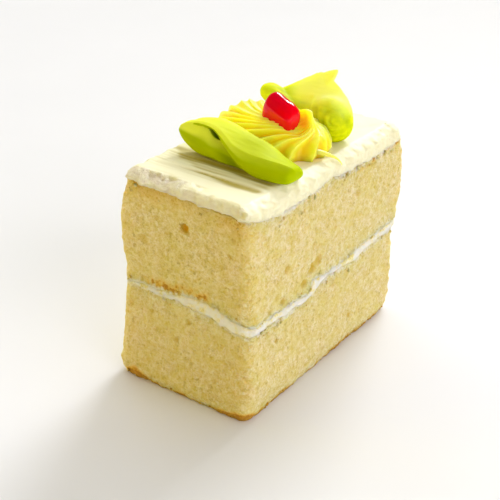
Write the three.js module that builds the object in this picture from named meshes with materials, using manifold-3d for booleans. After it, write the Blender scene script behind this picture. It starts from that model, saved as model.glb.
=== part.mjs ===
// A slice of buttercream cake: two layers of butter sponge with a thin cream filling, an iced top, and on it
// a yellow star-piped flower that holds a piece of red jelly, with a piped green leaf on either side of it.
// Millimetres, +Z up. The origin is the middle of the base. The near end face of the slice looks along -Y
// and its long cut face looks along +X.
import * as THREE from "three";
import { ParametricGeometry } from "three/addons/geometries/ParametricGeometry.js";
import { mergeVertices } from "three/addons/utils/BufferGeometryUtils.js";
import Module from "manifold-3d";

const { lerp, smoothstep, degToRad } = THREE.MathUtils;

// The block that the slice was cut as, and the room between pieces that lie on each other
const SLICE_WIDTH = 45;
const SLICE_LENGTH = 76;
const SLICE_HEIGHT = 66;
const CORNER_RADIUS = 1.8;
const GAP = 0.3;

// How far each side stands out of the plain block, as [height, stand-out] pairs. The near end of the lower
// layer was cut askew, so it stands out more towards the left.
const NEAR_END_ASKEW = 0.45;
const LOWER_SIDES = {
  left: [[0, 0], [2.6, 1.5], [5.8, 2.3], [19.5, 1.4], [30, 0.7]],
  right: [[0, -0.7], [3, -0.1], [7, 0.2], [30, 0]],
  front: [[0, 1.9], [3, 2.6], [12, 1.6], [30, 0]],
  back: [[0, -0.6], [3, 0.4], [8, 1.1], [22, 0.8], [30, -0.1]],
};
const FILLING_SIDES = {
  left: [[30, 0.6]],
  right: [[30, 0.1]],
  front: [[30, 0.2]],
  back: [[30, 1.2]],
};
const UPPER_SIDES = {
  left: [[31, 0.7], [45, 1.4], [55, 0.8], [62, -1.3]],
  right: [[31, -0.1], [45, 0.2], [60, -0.1]],
  front: [[31, 0], [46, 0.3], [63, -0.1]],
  back: [[31, 2.8], [46, 4.2], [55, 4], [61, 1.4]],
};
const ICING_SIDES = {
  left: [[60, -1.5], [63.5, -1.9], [66, -3.2]],
  right: [[58, 0], [61.5, 0.8], [64.5, 0.8], [66, -0.4]],
  front: [[60, 0.1], [64.5, 0.5], [66, -0.6]],
  back: [[59, 1.3], [63.5, -0.6], [66, -2.6]],
};

// Cream filling: it sags along the near half of the long face, and is thickest on the near end
const FILLING_LEVEL = 30.8;
const FILLING_SAG = 1.8;
const FILLING_SAG_PLACE = [22.5, -26];
const FILLING_SAG_REACH = [14, 22];
const FILLING_THICKNESS = 1.5;
const FILLING_EXTRA = 1.2;
const FILLING_EXTRA_PLACE = [10.5, -38];
const FILLING_EXTRA_REACH = [10, 12];

// Icing: cut level at the near end, and smeared down over the edge of the long face
const ICING_FLOOR = 63;
const ICING_SMEAR = 3.2;
const ICING_SMEAR_REACH = 9;

// Star-piped flower: an oval dome whose ridges fan out from the peak near its right end, where the piping
// was pulled away. The ridges crowd together on the far left side.
const FLOWER_CENTRE = new THREE.Vector2(1.5, 0);
const FLOWER_HALF_LENGTH = 18;
const FLOWER_HALF_WIDTH = 13;
const FLOWER_HEIGHT = 9;
const FLOWER_ROUNDNESS = 3;
const FLOWER_CORE_DEPTH = 3;
const PEAK_PLACE = new THREE.Vector2(13.8, 2);
const PEAK_HEIGHT = 5.2;
const PEAK_SPREAD = 2.2;
const RIDGES = 26;
const RIDGE_CROWDING = 0.7;
const RIDGE_CROWDED_BEARING = degToRad(160);
const RIDGE_TWIST = degToRad(-14);
const RIDGE_DEPTH_TO_PITCH = 0.26;
const RIDGE_DEPTH_MAX = 1.2;

// Jelly piece: a rounded block cut flat below, leaning a little to the right, sunk in the top of the flower
const JELLY_LENGTH = 11.8;
const JELLY_DEPTH = 6.8;
const JELLY_HEIGHT = 7.2;
const JELLY_SQUARENESS = 2.6;
const JELLY_PLACE = new THREE.Vector3(5.4, -1.2, 73.8);
const JELLY_LEAN = degToRad(7);
const SEAT_CLEARANCE = 0.35;

// Piped leaves: each lobe is an oval section carried through stations of place, half sizes and backward lean
const LOBE_SQUARENESS = 2.5;
const LOBE_BLUNTNESS = 6;
const FRONT_LEAF_LOBES = [
  // the cupped lobe, standing off the icing at its left end
  [
    { at: [-16.6, -18.4, 71.8], half: [1.8, 3], lean: 36 },
    { at: [-9.6, -19.4, 72.2], half: [2.3, 4.6], lean: 34 },
    { at: [0, -20.2, 71], half: [2.4, 4], lean: 30 },
    { at: [10, -18.8, 69.4], half: [2.4, 2.8], lean: 20 },
  ],
  // the lobe folded over it, flat on top at the left and turned down to the icing at the right
  [
    { at: [-11.4, -14.6, 74.8], half: [2.8, 0.9], lean: 0 },
    { at: [-2, -16, 74.4], half: [4.2, 1.1], lean: 6 },
    { at: [5, -17.2, 71.6], half: [5, 2.6], lean: 12 },
    { at: [13, -17.8, 68.8], half: [5.5, 3.9], lean: 14 },
    { at: [23, -18.2, 67.7], half: [5, 3], lean: 6 },
  ],
];
const BACK_LEAF_LOBES = [
  // the broad sheet that stands up behind the flower
  [
    { at: [-9, 13.6, 72.2], half: [1.6, 4], lean: 30 },
    { at: [-2, 13.4, 73.2], half: [1.8, 6.4], lean: 32 },
    { at: [6.6, 13.6, 74.6], half: [2.2, 9.4], lean: 30 },
    { at: [13.4, 13.2, 73], half: [2.8, 6.8], lean: 26 },
    { at: [19.6, 13.2, 71.4], half: [2.8, 4.6], lean: 20 },
  ],
  // the bulb that the sheet curls into at its right end
  [
    { at: [4.6, 10.6, 71.6], half: [3.6, 3.4], lean: 10 },
    { at: [12, 11.4, 71], half: [5, 5.3], lean: 10 },
    { at: [20, 12.6, 70.8], half: [4.2, 4.2], lean: 10 },
  ],
  // the rolled left end
  [
    { at: [-11.2, 13, 76.2], half: [2.8, 2.6], lean: 0 },
    { at: [-5, 12.6, 74], half: [3, 3], lean: 0 },
    { at: [2, 11.6, 70.8], half: [3, 3.2], lean: 0 },
  ],
  // the flicked tip where the piping was pulled away
  [
    { at: [2.6, 15.4, 76.4], half: [1.6, 4], lean: 30 },
    { at: [8, 17, 81.2], half: [1.2, 2.2], lean: 30 },
    { at: [12.4, 17.4, 85.9], half: [0.5, 0.5], lean: 30 },
  ],
];

// Facets: round the slice, round and along a lobe and the jelly, across a ridge, and out along the ridges
const RIM_POINTS = 56;
const LOBE_SIDES = 14;
const LOBE_STEPS = 14;
const JELLY_SIDES = 24;
const JELLY_STEPS = 8;
const RIDGE_POINTS = 4;
const FLOWER_ROWS = [0, 0.1, 0.25, 0.5, 0.72, 0.86, 0.94, 0.98, 1];

const wasm = await Module();
wasm.setup();

// Value at a place along [place, value] pairs, eased from one pair to the next
function eased(pairs, place) {
  const next = pairs.findIndex(([at]) => at >= place);
  if (next === 0) return pairs[0][1];
  if (next < 0) return pairs.at(-1)[1];
  const [before, after] = [pairs[next - 1], pairs[next]];
  return lerp(before[1], after[1], smoothstep(place, before[0], after[0]));
}

// Height at (x, y) of a round hump of height 1 with its own reach along X and Y
function hump(x, y, place, reach) {
  return Math.exp(-(((x - place[0]) / reach[0]) ** 2) - ((y - place[1]) / reach[1]) ** 2);
}

// Cosine or sine bent towards the sides of a square, for squarish rounds
function squared(value, squareness) {
  return Math.sign(value) * Math.abs(value) ** (2 / squareness);
}

function onlyPositions(geometry) {
  geometry.deleteAttribute("normal");
  geometry.deleteAttribute("uv");
  return mergeVertices(geometry);
}

// A closed surface of a point function, with the seam and poles merged. The cells of its first rows can be
// split along their other diagonal, so that an underside has the same facets as the top that it lies on.
function closedSurface(point, around, along, resplitRows = 0) {
  const surface = new ParametricGeometry(point, around, along);
  const corners = surface.index.array;
  for (let cell = 0; cell < around * resplitRows; cell += 1) {
    const [a, b, d, , c] = corners.slice(cell * 6, cell * 6 + 6);
    corners.set([a, b, c, a, c, d], cell * 6);
  }
  return onlyPositions(surface);
}

function solid(geometry) {
  const vertProperties = geometry.attributes.position.array;
  const triVerts = new Uint32Array(geometry.index.array);
  return new wasm.Manifold(new wasm.Mesh({ numProp: 3, vertProperties, triVerts }));
}

function shapeOf(body) {
  const { vertProperties, triVerts } = body.getMesh();
  const geometry = new THREE.BufferGeometry();
  geometry.setAttribute("position", new THREE.BufferAttribute(vertProperties, 3));
  geometry.setIndex(new THREE.BufferAttribute(triVerts, 1));
  geometry.computeVertexNormals();
  return geometry;
}

// Points evenly spaced round the plain block, counterclockwise from above
function blockRim() {
  const [x, y, r] = [SLICE_WIDTH / 2, SLICE_LENGTH / 2, CORNER_RADIUS];
  const block = new THREE.Shape();
  block.moveTo(x, 0).lineTo(x, y - r).absarc(x - r, y - r, r, 0, Math.PI / 2);
  block.lineTo(r - x, y).absarc(r - x, y - r, r, Math.PI / 2, Math.PI);
  block.lineTo(-x, r - y).absarc(r - x, r - y, r, Math.PI, 1.5 * Math.PI);
  block.lineTo(x - r, -y).absarc(x - r, r - y, r, 1.5 * Math.PI, 2 * Math.PI);
  block.closePath();
  return block.getSpacedPoints(RIM_POINTS);
}
const RIM = blockRim();

// The block's rim point moved by the sides' stand-out at that height, fully at the faces and less inside
function standOut(sides, rim, z) {
  const across = rim.x / (SLICE_WIDTH / 2);
  const along = rim.y / (SLICE_LENGTH / 2);
  const x = eased(across > 0 ? sides.right : sides.left, z);
  const y = along > 0 ? eased(sides.back, z) : eased(sides.front, z) * (1 - NEAR_END_ASKEW * across);
  return [rim.x + x * across * Math.abs(across), rim.y + y * along * Math.abs(along)];
}

const UNDERSIDE = [[0, 0], [0.7, 0], [0.92, 0], [1, 0]];
const TOPSIDE = [[1, 1], [0.92, 1], [0.7, 1], [0, 1]];
const wall = (...levels) => levels.map((level) => [1, level]);

// A layer of the slice between two height functions. Its rows run from the middle of its underside out to
// the rim, up the wall, and back over the top to the middle, each as [share of the rim, share of the height].
function layer(sides, floorAt, ceilingAt, wallRows) {
  const rows = [...UNDERSIDE, ...wallRows, ...TOPSIDE];
  return closedSurface((u, v, target) => {
    const rim = RIM[Math.round(u * RIM_POINTS)];
    const [ring, level] = rows[Math.round(v * (rows.length - 1))];
    const heightAt = (x, y) => lerp(floorAt(x, y), ceilingAt(x, y), level);
    const plainHeight = heightAt(rim.x * ring, rim.y * ring);
    const [x, y] = standOut(sides, rim, plainHeight).map((place) => place * ring);
    target.set(x, y, heightAt(x, y));
  }, RIM_POINTS, rows.length - 1, UNDERSIDE.length - 1);
}

function fillingMiddle(x, y) {
  return FILLING_LEVEL - FILLING_SAG * hump(x, y, FILLING_SAG_PLACE, FILLING_SAG_REACH);
}

function fillingHalf(x, y) {
  return (FILLING_THICKNESS + FILLING_EXTRA * hump(x, y, FILLING_EXTRA_PLACE, FILLING_EXTRA_REACH)) / 2;
}

const fillingFloor = (x, y) => fillingMiddle(x, y) - fillingHalf(x, y);
const fillingCeiling = (x, y) => fillingMiddle(x, y) + fillingHalf(x, y);

function icingFloor(x, y) {
  const [longFace, nearEnd] = [SLICE_WIDTH / 2, -SLICE_LENGTH / 2];
  const towardsLongFace = smoothstep(x, longFace - ICING_SMEAR_REACH, longFace);
  const awayFromNearEnd = smoothstep(y, nearEnd, nearEnd + ICING_SMEAR_REACH);
  return ICING_FLOOR - ICING_SMEAR * towardsLongFace * awayFromNearEnd;
}

const table = () => 0;
const icingTop = () => SLICE_HEIGHT;
const underFilling = (x, y) => fillingFloor(x, y) - GAP;
const overFilling = (x, y) => fillingCeiling(x, y) + GAP;
const underIcing = (x, y) => icingFloor(x, y) - GAP;

const lowerSponge = layer(LOWER_SIDES, table, underFilling, wall(0.05, 0.12, 0.25, 0.5, 0.8));
const filling = layer(FILLING_SIDES, fillingFloor, fillingCeiling, wall());
const upperSponge = layer(UPPER_SIDES, overFilling, underIcing, wall(0.2, 0.45, 0.7, 0.88));
const icing = layer(ICING_SIDES, icingFloor, icingTop, wall(0.3, 0.65, 0.88));

// One piped lobe: a squarish oval section, leaning back, carried along a smooth curve through the stations
// and drawn in to a blunt end at both ends. Swell adds to its half sizes.
function lobe(stations, swell) {
  const spine = new THREE.CatmullRomCurve3(stations.map(({ at }) => new THREE.Vector3(...at)));
  const sizes = new THREE.CatmullRomCurve3(
    stations.map(({ half, lean }) => new THREE.Vector3(...half, degToRad(lean))),
  );
  return closedSurface((u, v, target) => {
    const t = (1 - Math.cos(v * Math.PI)) / 2;
    const drawnIn = Math.sqrt(Math.max(0, 1 - Math.abs(2 * t - 1) ** LOBE_BLUNTNESS));
    const size = sizes.getPoint(t);
    const along = spine.getTangent(t);
    const back = new THREE.Vector3(0, Math.cos(size.z), -Math.sin(size.z));
    back.addScaledVector(along, -back.dot(along)).normalize();
    const rise = new THREE.Vector3().crossVectors(along, back);
    const turn = u * 2 * Math.PI;
    target.copy(spine.getPoint(t));
    target.addScaledVector(back, squared(Math.cos(turn), LOBE_SQUARENESS) * (size.x + swell) * drawnIn);
    target.addScaledVector(rise, squared(Math.sin(turn), LOBE_SQUARENESS) * (size.y + swell) * drawnIn);
  }, LOBE_SIDES, LOBE_STEPS);
}

// A leaf: its lobes joined, and cut level where it lies on the icing
function leaf(lobes, swell = 0) {
  const joined = lobes.map((stations) => solid(lobe(stations, swell))).reduce((a, b) => a.add(b));
  const below = new THREE.BoxGeometry(SLICE_LENGTH, SLICE_LENGTH, SLICE_HEIGHT);
  below.translate(0, 0, SLICE_HEIGHT / 2 + GAP - swell);
  return joined.subtract(solid(onlyPositions(below)));
}

// The jelly piece: half of a squarish oval ball, flat below. Swell adds to it all round.
function jelly(swell = 0) {
  const piece = closedSurface((u, v, target) => {
    const turn = u * 2 * Math.PI;
    const step = Math.round(v * (JELLY_STEPS + 1)) - 1;
    const climb = (Math.max(0, step) / JELLY_STEPS) * (Math.PI / 2);
    const ring = step < 0 ? 0 : squared(Math.cos(climb), JELLY_SQUARENESS);
    target.set(
      (JELLY_LENGTH / 2 + swell) * ring * squared(Math.cos(turn), JELLY_SQUARENESS),
      (JELLY_DEPTH / 2 + swell) * ring * squared(Math.sin(turn), JELLY_SQUARENESS),
      (JELLY_HEIGHT + 2 * swell) * squared(Math.sin(climb), JELLY_SQUARENESS) - swell,
    );
  }, JELLY_SIDES, JELLY_STEPS + 1);
  return piece.rotateY(JELLY_LEAN).translate(...JELLY_PLACE);
}

// Bearings from the peak, evenly spaced in ridge phase. The phase runs faster than the bearing on the
// crowded side, as in Kepler's equation, so each bearing is found by repeated substitution.
function ridgeBearings() {
  const steps = RIDGES * RIDGE_POINTS;
  return Array.from({ length: steps + 1 }, (_, step) => {
    const phase = (step / steps) * 2 * Math.PI;
    let bearing = phase;
    for (let pass = 0; pass < 40; pass += 1) {
      bearing = phase - RIDGE_CROWDING * Math.sin(bearing);
    }
    return bearing + RIDGE_CROWDED_BEARING;
  });
}

// How far the flower's oval outline lies from its peak along a bearing
function reachFromPeak(bearing) {
  const half = new THREE.Vector2(FLOWER_HALF_LENGTH, FLOWER_HALF_WIDTH);
  const step = new THREE.Vector2(Math.cos(bearing), Math.sin(bearing)).divide(half);
  const start = PEAK_PLACE.clone().sub(FLOWER_CENTRE).divide(half);
  const [a, b, c] = [step.lengthSq(), start.dot(step), start.lengthSq() - 1];
  return (-b + Math.sqrt(b * b - a * c)) / a;
}

// The flower: along each bearing the surface runs from the peak over the oval dome to its rim, and every
// ridge lifts it away from a core point under the dome, in proportion to the ridges' pitch there.
function flower() {
  const bearings = ridgeBearings();
  const floor = SLICE_HEIGHT + GAP;
  const core = new THREE.Vector3(FLOWER_CENTRE.x, FLOWER_CENTRE.y, -FLOWER_CORE_DEPTH);
  const rimRow = FLOWER_ROWS.length - 1;
  return closedSurface((u, v, target) => {
    const row = Math.round(v * (rimRow + 1));
    if (row > rimRow) {
      target.set(FLOWER_CENTRE.x, FLOWER_CENTRE.y, floor);
      return;
    }
    const step = Math.round((1 - u) * (bearings.length - 1));
    const bearing = bearings[step] + RIDGE_TWIST * (1 - FLOWER_ROWS[row]);
    const out = FLOWER_ROWS[row] * reachFromPeak(bearing);
    const x = PEAK_PLACE.x + out * Math.cos(bearing);
    const y = PEAK_PLACE.y + out * Math.sin(bearing);
    const fromCentre = Math.hypot(
      (x - FLOWER_CENTRE.x) / FLOWER_HALF_LENGTH,
      (y - FLOWER_CENTRE.y) / FLOWER_HALF_WIDTH,
    );
    const inside = Math.max(0, 1 - fromCentre ** FLOWER_ROUNDNESS);
    const peak = PEAK_HEIGHT * Math.exp(-out / PEAK_SPREAD);
    target.set(x, y, FLOWER_HEIGHT * inside ** (1 / FLOWER_ROUNDNESS) + peak * inside).sub(core);
    const crowd = 1 + RIDGE_CROWDING * Math.cos(bearings[step] - RIDGE_CROWDED_BEARING);
    const pitch = (out * 2 * Math.PI) / (RIDGES * crowd);
    const depth = Math.min(RIDGE_DEPTH_MAX, RIDGE_DEPTH_TO_PITCH * pitch);
    const crest = 1 - 2 * Math.abs(Math.sin((step / RIDGE_POINTS) * Math.PI));
    target.setLength(target.length() + depth * crest).add(core);
    target.z = row === rimRow ? floor : floor + Math.max(GAP, target.z);
  }, bearings.length - 1, rimRow + 1);
}

// The flower with room cut in it for the jelly and the leaves, without the loose scraps of the cut
const seatedFlower = solid(flower())
  .subtract(solid(jelly(SEAT_CLEARANCE)))
  .subtract(leaf(FRONT_LEAF_LOBES, SEAT_CLEARANCE))
  .subtract(leaf(BACK_LEAF_LOBES, SEAT_CLEARANCE))
  .decompose()
  .reduce((largest, scrap) => (scrap.volume() > largest.volume() ? scrap : largest));

const cake = new THREE.Group();

function addPiece(name, geometry, color, roughness) {
  const piece = new THREE.Mesh(geometry, new THREE.MeshStandardMaterial({ color, roughness, metalness: 0 }));
  piece.name = name;
  cake.add(piece);
}

addPiece("sponge_lower", lowerSponge, 0xe9d28c, 0.9);
addPiece("filling", filling, 0xf6f2dc, 0.6);
addPiece("sponge_upper", upperSponge, 0xe9d28c, 0.9);
addPiece("icing", icing, 0xf8f5e4, 0.45);
addPiece("flower", shapeOf(seatedFlower), 0xf7dc1e, 0.4);
addPiece("leaf_front", shapeOf(leaf(FRONT_LEAF_LOBES)), 0xb4cc16, 0.4);
addPiece("leaf_back", shapeOf(leaf(BACK_LEAF_LOBES)), 0xc4dc1e, 0.4);
addPiece("jelly", jelly(), 0xc8001e, 0.1);

export default cake;
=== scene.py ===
# A slice of buttercream cake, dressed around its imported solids. Shapes are worked out in millimetres in the
# part's own frame and put into the meshes in metres. The near end looks along -Y, the long face along +X.
from functools import partial, partialmethod

import bpy
import numpy as np
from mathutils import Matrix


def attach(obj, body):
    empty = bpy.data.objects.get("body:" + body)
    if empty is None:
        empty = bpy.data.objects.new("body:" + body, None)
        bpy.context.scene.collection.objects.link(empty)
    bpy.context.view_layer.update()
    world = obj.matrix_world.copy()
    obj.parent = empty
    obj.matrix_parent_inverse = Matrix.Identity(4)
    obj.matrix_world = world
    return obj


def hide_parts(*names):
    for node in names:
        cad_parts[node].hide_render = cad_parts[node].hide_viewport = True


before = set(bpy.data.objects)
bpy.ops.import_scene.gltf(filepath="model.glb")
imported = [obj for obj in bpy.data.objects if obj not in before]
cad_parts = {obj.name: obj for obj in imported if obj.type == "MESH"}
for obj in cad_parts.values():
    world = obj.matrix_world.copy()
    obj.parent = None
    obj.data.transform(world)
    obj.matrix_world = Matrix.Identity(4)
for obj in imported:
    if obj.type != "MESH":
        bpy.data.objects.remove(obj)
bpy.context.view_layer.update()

# Lower sponge: the bottom layer of butter cake, cut on all four sides with a knife. It is an open crumb of
# egg, flour and butter, with cut air bubbles in its faces and a browned crust under its foot.
MM = 0.001
SLICE_HALF = np.array([22.5, 38.0])
CORNER_RADIUS = 3.0
NEAR_END_ASKEW = 0.45
EDGE_RADIUS = 0.15
AROUND = 800
LOWER_ROWS = 98
CAP_SHARES = np.array([0.25, 0.5, 0.75, 0.93])
# How far each side stands out from the plain block, as (height, distance)
LOWER_SIDES = {
    "left": [(0, 0), (2.6, 1.5), (5.8, 2.3), (19.5, 1.4), (30, 0.7)],
    "right": [(0, -0.7), (3, -0.1), (7, 0.2), (30, 0)],
    "front": [(0, 1.9), (3, 2.6), (12, 1.6), (30, 0)],
    "back": [(0, -0.6), (3, 0.4), (8, 1.1), (22, 0.8), (30, -0.1)],
}


def mixed_hash(cells, seed):
    """A repeatable random number from 0 to 1 for each whole-number lattice point: the coordinates times
    large primes are folded together, and their bits are stirred by shifts and odd multipliers."""
    x, y, z = np.moveaxis(np.asarray(cells).astype(np.int64), -1, 0)
    mixed = (x * 73856093 ^ y * 19349663 ^ z * 83492791 ^ seed * 40503).astype(np.uint32)
    for shift, factor in ((15, 2246822519), (13, 3266489917), (16, 668265263)):
        mixed = (mixed ^ mixed >> np.uint32(shift)) * np.uint32(factor)
    return (mixed ^ mixed >> np.uint32(15)) / 2.0**32


def lumps(points, size, seed):
    """Smooth random lumps from -1 to 1: a random value at each point of a lattice, blended to the places in
    between by smooth weights along each axis."""
    place = points / size
    corner = np.floor(place)
    share = place - corner
    share = share**3 * (share * (6 * share - 15) + 10)
    total = 0
    for offset in np.ndindex(2, 2, 2):
        weight = np.where(offset, share, 1 - share).prod(axis=-1)
        total = total + weight * mixed_hash(corner + offset, seed)
    return 2 * total - 1


def layered(points, *layers):
    """Lumps of several sizes added up, each layer given as (height, size, seed)."""
    return sum(height * lumps(points, size, seed) for height, size, seed in layers)


def patchy(points, mean, *layers):
    """Patches from 0 to 1: layers of lumps round a mean, cut off at both ends."""
    return np.clip(mean + layered(points, *layers), 0, 1)


def bubbles(points, spacing, largest, seed):
    """Depth of the air bubbles that a cut opens: each lattice cell holds one round bubble with a random
    centre and radius, and the depth at a place is the half chord of the deepest bubble round it."""
    place = points / spacing
    cell = np.floor(place)
    depth = np.zeros(points.shape[:-1])
    for offset in np.ndindex(3, 3, 3):
        near = cell + offset - 1
        centre = near + np.stack([mixed_hash(near, seed + axis) for axis in range(3)], axis=-1)
        radius = largest * mixed_hash(near, seed + 3) ** 1.6
        away = np.linalg.norm((place - centre) * spacing, axis=-1)
        depth = np.maximum(depth, np.sqrt(np.maximum(0, radius**2 - away**2)))
    return depth


def smooth_step(value, low, high):
    """0 below low, 1 above high, and 3s^2 - 2s^3 of the share s in between."""
    share = np.clip((value - low) / (high - low), 0, 1)
    return share * share * (3 - 2 * share)


def bell(away, reach):
    """1 at no distance away, and e to the power of -(away / reach)^2 farther off."""
    return np.exp(-((away / reach) ** 2))


def eased(pairs, place):
    """The value at a place along (place, value) pairs, with a smooth step from each pair to the next."""
    at, value = np.transpose(np.asarray(pairs, float))
    before = np.clip(np.searchsorted(at, place) - 1, 0, len(at) - 2)
    share = smooth_step((place - at[before]) / (at[before + 1] - at[before]), 0, 1)
    return value[before] + (value[before + 1] - value[before]) * share


def unit(vectors):
    """Vectors brought to a length of one."""
    return vectors / np.linalg.norm(vectors, axis=-1, keepdims=True)


def lifted(flat, height):
    """Places on the flat with their heights added as the third coordinate."""
    return np.concatenate([flat, height[..., None]], axis=-1)


def block_outline(count):
    """Points evenly spaced round a rectangle with round corners, counterclockwise, and the outward direction
    at each: four quarter circles joined by straight sides, read off at equal lengths."""
    quarter = np.linspace(0, np.pi / 2, 24)
    turn = (quarter + np.arange(4)[:, None] * np.pi / 2).ravel()
    outward = np.stack([np.cos(turn), np.sin(turn)], axis=1)
    corners = np.array([(1, 1), (-1, 1), (-1, -1), (1, -1)]) * (SLICE_HALF - CORNER_RADIUS)
    line = np.repeat(corners, len(quarter), axis=0) + CORNER_RADIUS * outward
    line, outward = (np.vstack([part, part[:1]]) for part in (line, outward))
    length = np.concatenate([[0], np.cumsum(np.linalg.norm(np.diff(line, axis=0), axis=1))])
    at = np.linspace(0, length[-1], count, endpoint=False)
    rim, direction = (
        np.stack([np.interp(at, length, part[:, axis]) for axis in (0, 1)], axis=1)
        for part in (line, outward)
    )
    return rim, unit(direction)


RIM, OUTWARD = block_outline(AROUND)


def stand_out(sides, rim, z):
    """A point of the plain block's rim moved by what the sides stand out at that height: each side's amount
    times the square of how far out across or along the slice the point lies. The near end's amount falls
    evenly towards the long face."""
    across, along = np.moveaxis(rim / SLICE_HALF, -1, 0)
    x = np.where(across > 0, eased(sides["right"], z), eased(sides["left"], z))
    front = eased(sides["front"], z) * (1 - NEAR_END_ASKEW * across)
    y = np.where(along > 0, eased(sides["back"], z), front)
    return rim + np.stack([x * across * np.abs(across), y * along * np.abs(along)], axis=-1)


def plain_wall(sides, low, high, rows):
    """Rows of points up a layer's wall: the rim at evenly shared heights between the low and high lines that
    run round the layer, moved by what its sides stand out."""
    z = low + (high - low) * np.linspace(0, 1, rows)[:, None]
    rim = np.broadcast_to(RIM, (rows, AROUND, 2))
    return lifted(stand_out(sides, rim, z), z)


def above_foot(wall):
    """Distance up from the lower edge of a wall."""
    return wall[..., 2] - wall[0, :, 2]


def below_top(wall):
    """Distance down from the upper edge of a wall."""
    return wall[-1, :, 2] - wall[..., 2]


def from_edges(wall):
    """Distance to the nearer edge of a wall."""
    return np.minimum(above_foot(wall), below_top(wall))


def pushed_out(wall, amount):
    """The wall's points moved level along their outward direction."""
    return wall + lifted(OUTWARD * amount[..., None], 0 * amount)


def capped(wall, under, over):
    """A closed layer: its wall, with its lowest and highest rows drawn in towards the middle by shares, at
    the heights of the underside and top as functions of the place. What a row misses them by fades inwards
    with the eighth power of the share."""
    shares = CAP_SHARES[:, None, None]
    caps = []
    for row, height in ((wall[0], under), (wall[-1], over)):
        flat = row[None, :, :2] * shares
        miss = row[:, 2] - height(row[:, 0], row[:, 1])
        rise = height(flat[..., 0], flat[..., 1]) + miss * shares[..., 0] ** 8
        caps.append(lifted(flat, rise))
    return np.concatenate([caps[0], wall, caps[1][::-1]])


def in_caps(mark, under, over):
    """A wall's mark carried on over the caps, with one value for the underside and one for the top."""
    cap = np.ones((len(CAP_SHARES), mark.shape[1]))
    return np.concatenate([cap * under, mark, cap * over])


def closed_mesh(name, grids, **marks):
    """A mesh from one grid of points or several: in each, a row joins to the next by four-cornered faces all
    the way round, and the first and last rows close in a fan on their middle. Marks are numbers kept at the
    points."""
    rows, around = grids.shape[-3:-1]
    grids = grids.reshape(-1, rows, around, 3)

    def with_ends(values):
        """The values at each grid's points, between the means of its first and its last row."""
        values = values.reshape(len(grids), rows, around, -1)
        inner = values.reshape(len(grids), rows * around, -1)
        return np.concatenate([values[:, :1].mean(2), inner, values[:, -1:].mean(2)], axis=1)

    points = with_ends(grids)
    grid_size = points.shape[1]
    number = 1 + np.arange(rows * around).reshape(rows, around)
    after = np.roll(number, -1, axis=1)
    first = np.stack([0 * number[0], after[0], number[0]], axis=-1)
    quads = np.stack([number[:-1], after[:-1], after[1:], number[1:]], axis=-1)
    last = np.stack([0 * number[0] + grid_size - 1, number[-1], after[-1]], axis=-1)
    corners = np.concatenate([first.ravel(), quads.ravel(), last.ravel()])
    corners = (corners + np.arange(len(grids))[:, None] * grid_size).ravel()
    sizes = np.repeat([3, 4, 3], [around, (rows - 1) * around, around])
    sizes = np.tile(sizes, len(grids))
    mesh = bpy.data.meshes.new(name)
    mesh.vertices.add(len(grids) * grid_size)
    mesh.vertices.foreach_set("co", (points * MM).ravel())
    mesh.loops.add(len(corners))
    mesh.loops.foreach_set("vertex_index", corners)
    mesh.polygons.add(len(sizes))
    mesh.polygons.foreach_set("loop_start", np.cumsum(sizes) - sizes)
    for mark, values in marks.items():
        mesh.attributes.new(mark, "FLOAT", "POINT").data.foreach_set("value", with_ends(values).ravel())
    mesh.update(calc_edges=True)
    mesh.shade_smooth()
    return mesh


def in_scene(name, data):
    """A new object of the scene with that mesh, lamp or lens."""
    thing = bpy.data.objects.new(name, data)
    bpy.context.scene.collection.objects.link(thing)
    return thing


def place_piece(mesh, material, slot, *nodes):
    """Makes the mesh a piece of the cake in its material, standing for the solids named."""
    mesh.materials.append(material)
    piece = in_scene(mesh.name, mesh)
    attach(piece, "root")
    if nodes:
        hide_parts(*nodes)


def colour(red, green, blue):
    """A colour given as seen, in steps of 0 to 255, as the light values that the shader takes."""
    seen = np.array([red, green, blue]) / 255
    return (*np.where(seen > 0.04045, ((seen + 0.055) / 1.055) ** 2.4, seen / 12.92), 1.0)


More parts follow.
